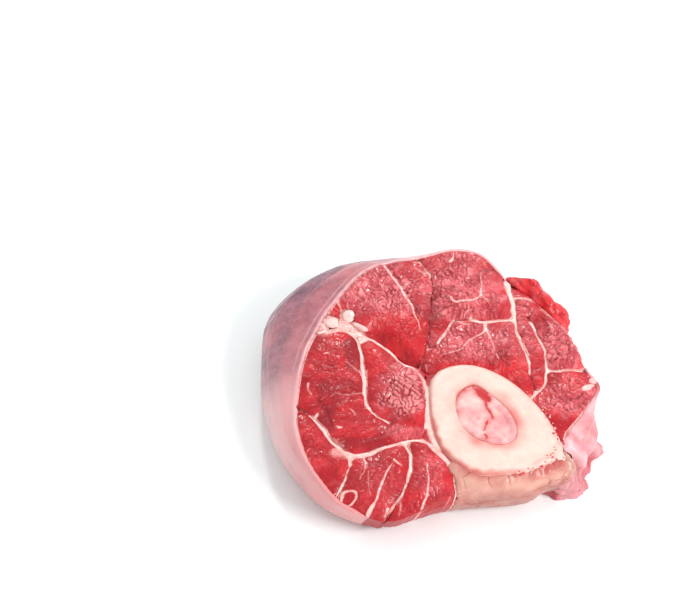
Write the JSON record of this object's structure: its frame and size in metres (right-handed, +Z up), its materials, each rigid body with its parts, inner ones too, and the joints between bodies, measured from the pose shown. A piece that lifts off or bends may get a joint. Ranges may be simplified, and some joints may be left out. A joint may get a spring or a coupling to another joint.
{
  "type": "raw mutton shank slice",
  "caption": "Thick raw slice sawn across a hind shank: bone ring with marrow, muscles parted by pale sheets, tendons, silvery skin on one side, fatty rind and membrane on the other.",
  "frame": {"origin": "middle of the slice's outline, on its lower sawn face", "axes": "+Z up through the slice towards the upper sawn face, +Y from the front, where bare muscle bulges, towards the back, +X towards the side with the bone"},
  "size_m": [0.1014, 0.099, 0.0295],
  "materials": {
    "bone": "sawn, damp, satin",
    "marrow": "soft, fatty, satin",
    "muscle": "wet, glossy",
    "rind": "fatty, satin",
    "connective": "wet, glossy",
    "tendon": "wet, glossy",
    "silver_skin": "wet, glossy, slightly clear",
    "membrane": "wet, glossy"
  },
  "bodies": {
    "root": {"bone": "bone", "marrow": "marrow", "muscle_upper_left": "muscle", "muscle_upper": "muscle", "muscle_middle": "muscle", "muscle_right": "muscle", "muscle_lower_right": "muscle", "muscle_left": "muscle", "muscle_lower_left": "muscle", "muscle_front_left": "muscle", "muscle_front_right": "muscle", "loose_flap": "muscle", "rind_under_bone": "rind", "connective_sheets": "connective", "tendon_round_outer": "tendon", "tendon_round_inner": "tendon", "tendon_flat": "tendon", "silver_skin": "silver_skin", "right_membrane": "membrane"}
  },
  "joints": []
}
